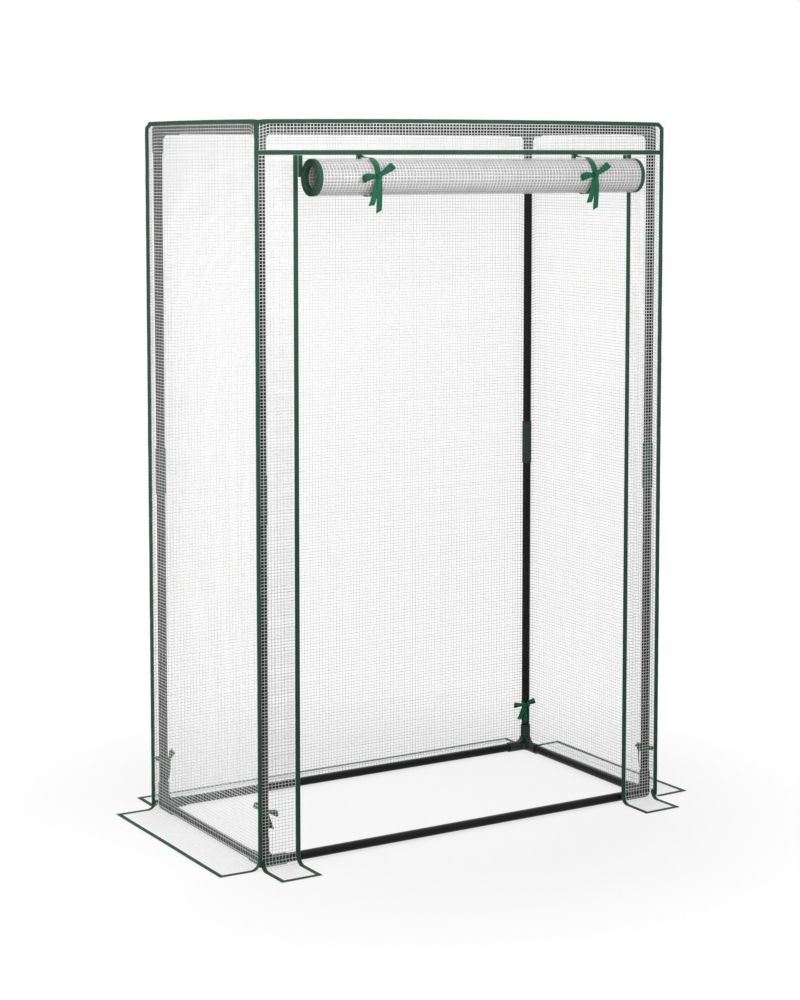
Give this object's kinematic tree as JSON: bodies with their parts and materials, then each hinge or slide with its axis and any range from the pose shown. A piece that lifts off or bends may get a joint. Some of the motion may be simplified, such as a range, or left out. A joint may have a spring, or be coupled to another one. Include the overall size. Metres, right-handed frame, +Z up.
{
  "type": "portable mini greenhouse",
  "caption": "Upright box greenhouse: steel tube frame in corner connectors under a clear mesh film cover with ground skirts and a roll-up front door tied with ribbons.",
  "frame": {"origin": "on the ground, at the middle of the footprint", "axes": "+X to the right along the wide front, +Y from the front with the doorway to the back, +Z up"},
  "size_m": [1.176, 0.686, 1.5045],
  "materials": {
    "black_tube": "satin",
    "green_plastic": "satin",
    "mesh_film": "satin",
    "green_tape": "matte",
    "green_ribbon": "satin"
  },
  "bodies": {
    "greenhouse": {"back_base_rail": "black_tube", "back_left_base_connector": "green_plastic", "back_left_coupler": "green_plastic", "back_left_lower_upright": "black_tube", "back_left_seam": "green_tape", "back_left_top_connector": "green_plastic", "back_left_upper_upright": "black_tube", "back_right_base_connector": "green_plastic", "back_right_coupler": "green_plastic", "back_right_lower_upright": "black_tube", "back_right_seam": "green_tape", "back_right_top_connector": "green_plastic", "back_right_upper_upright": "black_tube", "back_top_rail": "black_tube", "back_wall": "mesh_film", "front_base_rail": "black_tube", "front_left_base_connector": "green_plastic", "front_left_coupler": "green_plastic", "front_left_lower_upright": "black_tube", "front_left_seam": "green_tape", "front_left_top_connector": "green_plastic", "front_left_upper_upright": "black_tube", "front_right_base_connector": "green_plastic", "front_right_coupler": "green_plastic", "front_right_lower_upright": "black_tube", "front_right_seam": "green_tape", "front_right_top_connector": "green_plastic", "front_right_upper_upright": "black_tube", "front_top_rail": "black_tube", "header": "mesh_film", "header_tape": "green_tape", "left_base_rail": "black_tube", "left_door_tie": "green_ribbon", "left_jamb": "mesh_film", "left_jamb_tape": "green_tape", "left_top_rail": "black_tube", "left_wall": "mesh_film", "right_base_rail": "black_tube", "right_door_tie": "green_ribbon", "right_jamb": "mesh_film", "right_jamb_tape": "green_tape", "right_top_rail": "black_tube", "right_wall": "mesh_film", "roof": "mesh_film", "roof_seam": "green_tape", "upright_ties": "green_ribbon"},
    "left_skirt": {"left_skirt": "mesh_film", "left_skirt_tape": "green_tape"},
    "right_skirt": {"right_skirt": "mesh_film", "right_skirt_tape": "green_tape"},
    "back_skirt": {"back_skirt": "mesh_film", "back_skirt_tape": "green_tape"},
    "front_left_skirt": {"front_left_skirt": "mesh_film", "front_left_skirt_tape": "green_tape"},
    "front_right_skirt": {"front_right_skirt": "mesh_film", "front_right_skirt_tape": "green_tape"},
    "door_carriage": {"door_strip": "mesh_film", "door_strip_tapes": "green_tape"},
    "rolled_door": {"door_roll": "mesh_film", "door_roll_tapes": "green_tape"}
  },
  "joints": [
    {"name": "left_skirt_fold", "type": "hinge", "parent": "greenhouse", "child": "left_skirt", "pos_m": [-0.515, 0, 0.0016], "axis": [0, 1, 0], "range_deg": [0, 90]},
    {"name": "right_skirt_fold", "type": "hinge", "parent": "greenhouse", "child": "right_skirt", "pos_m": [0.515, 0, 0.0016], "axis": [0, -1, 0], "range_deg": [0, 90]},
    {"name": "back_skirt_fold", "type": "hinge", "parent": "greenhouse", "child": "back_skirt", "pos_m": [0, 0.27, 0.0016], "axis": [1, 0, 0], "range_deg": [0, 90]},
    {"name": "front_left_skirt_fold", "type": "hinge", "parent": "greenhouse", "child": "front_left_skirt", "pos_m": [-0.45075, -0.27, 0.0016], "axis": [-1, 0, 0], "range_deg": [0, 90]},
    {"name": "front_right_skirt_fold", "type": "hinge", "parent": "greenhouse", "child": "front_right_skirt", "pos_m": [0.45075, -0.27, 0.0016], "axis": [-1, 0, 0], "range_deg": [0, 90]},
    {"name": "door_drop", "type": "slide", "parent": "greenhouse", "child": "door_carriage", "axis": [0, 0, -1], "range_m": [0, 1.34], "deforming": ["door_strip", "door_strip_tapes", "left_door_tie", "right_door_tie"]},
    {"name": "door_unroll", "type": "hinge", "parent": "door_carriage", "child": "rolled_door", "pos_m": [0, -0.2891, 1.391], "axis": [1, 0, 0], "range_deg": [0, 2520]}
  ],
  "couplings": [
    {"joint": "door_unroll", "follows": "door_drop", "rad_per_m": 32.822}
  ]
}
